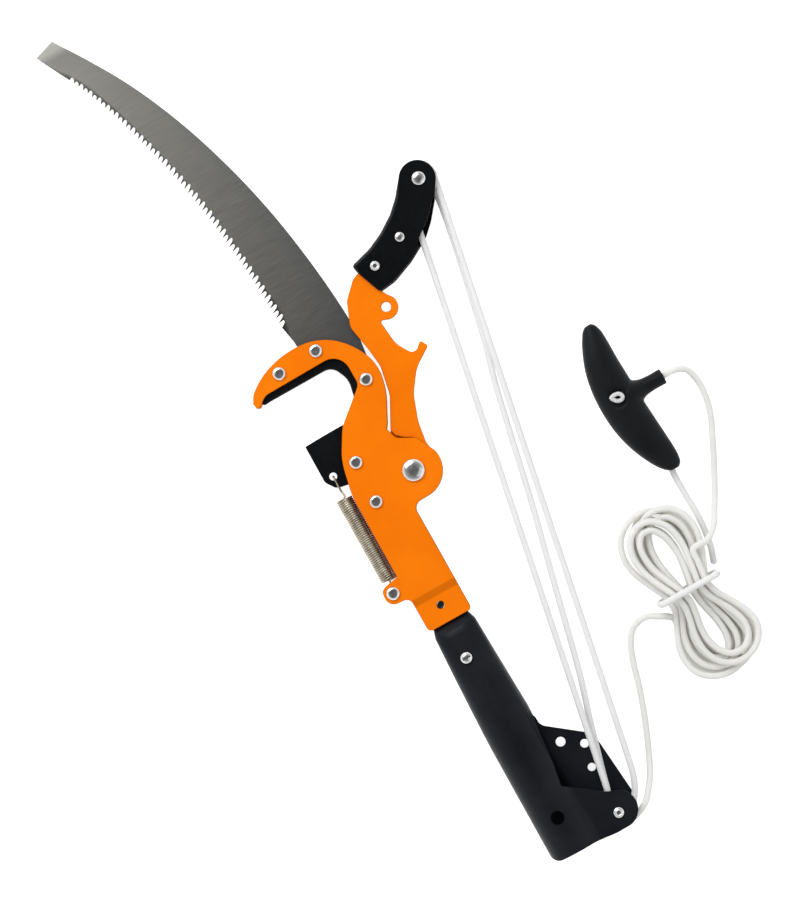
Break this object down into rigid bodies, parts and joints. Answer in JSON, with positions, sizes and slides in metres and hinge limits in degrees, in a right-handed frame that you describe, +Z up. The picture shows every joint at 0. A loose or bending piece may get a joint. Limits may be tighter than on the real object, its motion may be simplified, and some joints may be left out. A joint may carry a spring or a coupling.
{
  "type": "pole saw",
  "caption": "Pole saw head with a curved saw blade, a hooked pruner worked by a sprung lever and a rope tackle, a pole socket and a T-shaped pull handle.",
  "frame": {"origin": "on the floor under the middle of the tool and its handle, without the free rope", "axes": "+Y along the pole towards the saw's tip, +X towards the pulley arm, +Z up from the floor on which the tool lies"},
  "size_m": [0.3174, 0.7256, 0.0415],
  "materials": {
    "orange_paint": "glossy powder coat",
    "black_coat": "satin black coat",
    "saw_steel": "dark brushed",
    "bright_zinc": "bright zinc",
    "spring_steel": "bright wire",
    "white_rope": "braided cord",
    "black_plastic": "matt moulding"
  },
  "bodies": {
    "frame": {"front_side_plate": "orange_paint", "rear_side_plate": "orange_paint", "hook_anvil": "black_coat", "hook_packing": "black_coat", "saw_blade": "saw_steel", "hook_rivet_1": "bright_zinc", "hook_rivet_2": "bright_zinc", "hook_rivet_3": "bright_zinc", "body_rivet_1": "bright_zinc", "body_rivet_2": "bright_zinc", "spring_rivet": "bright_zinc", "pivot_bolt": "bright_zinc", "pivot_bush": "bright_zinc", "pivot_nut": "bright_zinc", "pole_socket": "black_coat", "socket_clamp_rivet": "black_coat", "socket_cross_rivet": "bright_zinc", "lower_sheave_pin": "bright_zinc", "rope_haul_turn": "white_rope", "free_rope": "white_rope", "rope_hank": "white_rope", "hank_tie": "white_rope", "handle_rope": "white_rope", "rope_tail": "white_rope", "pull_handle": "black_plastic", "handle_knot": "white_rope"},
    "lever": {"lever_arm": "orange_paint", "cutter_blade": "black_coat", "lever_rivet_1": "bright_zinc", "lever_rivet_2": "bright_zinc", "pulley_housing": "black_coat", "housing_pin_1": "bright_zinc", "housing_pin_2": "bright_zinc", "housing_spacer_1": "black_coat", "housing_spacer_2": "black_coat", "upper_sheave_pin": "bright_zinc"},
    "upper_sheave": {"upper_sheave": "black_plastic"},
    "rope_head": {"rope_upper_turn": "white_rope", "rope_dead_end": "white_rope"},
    "strands": {"rope_strand_a": "white_rope", "rope_strand_b": "white_rope", "rope_strand_c": "white_rope", "rope_lower_turn": "white_rope"},
    "front_lower_sheave": {"front_lower_sheave": "black_plastic"},
    "rear_lower_sheave": {"rear_lower_sheave": "black_plastic"},
    "spring": {"return_spring": "spring_steel"},
    "spring_hook": {"spring_top_hook": "spring_steel"}
  },
  "joints": [
    {"name": "lever_pivot", "type": "hinge", "parent": "frame", "child": "lever", "pos_m": [-0.05132, -0.05212, 0.01472], "axis": [-0.0109, 0.0233, 0.9997], "range_deg": [-36, 0], "stiffness_Nm_per_rad": 1.2, "springref_deg": 34.38, "deforming": ["return_spring", "rope_strand_a", "rope_strand_b", "rope_strand_c"]},
    {"name": "upper_sheave_spin", "type": "hinge", "parent": "lever", "child": "upper_sheave", "pos_m": [0.0593, 0.13654, 0.01153], "axis": [-0.0109, 0.0233, 0.9997], "continuous": true},
    {"name": "rope_head_turn", "type": "hinge", "parent": "lever", "child": "rope_head", "pos_m": [0.0593, 0.13654, 0.01153], "axis": [-0.0109, 0.0233, 0.9997], "range_deg": [0, 21.5]},
    {"name": "strand_swing", "type": "hinge", "parent": "frame", "child": "strands", "pos_m": [-0.04326, -0.34974, 0.02174], "axis": [-0.0109, 0.0233, 0.9997], "range_deg": [-14.7, 0]},
    {"name": "front_lower_sheave_spin", "type": "hinge", "parent": "frame", "child": "front_lower_sheave", "pos_m": [-0.04326, -0.34974, 0.02174], "axis": [-0.0109, 0.0233, 0.9997], "continuous": true},
    {"name": "rear_lower_sheave_spin", "type": "hinge", "parent": "frame", "child": "rear_lower_sheave", "pos_m": [-0.04326, -0.34974, 0.02174], "axis": [-0.0109, 0.0233, 0.9997], "continuous": true},
    {"name": "spring_swing", "type": "hinge", "parent": "frame", "child": "spring", "pos_m": [-0.10972, -0.12501, 0.01578], "axis": [-0.0109, 0.0233, 0.9997], "range_deg": [-11, 0]},
    {"name": "spring_stretch", "type": "slide", "parent": "spring", "child": "spring_hook", "axis": [0.0358, 0.9991, -0.0229], "range_m": [0, 0.031]}
  ],
  "couplings": [
    {"joint": "rope_head_turn", "follows": "lever_pivot", "ratio": -0.5939},
    {"joint": "strand_swing", "follows": "lever_pivot", "ratio": 0.4061},
    {"joint": "spring_swing", "follows": "lever_pivot", "ratio": 0.30152},
    {"joint": "spring_stretch", "follows": "lever_pivot", "m_per_rad": -0.0488}
  ]
}
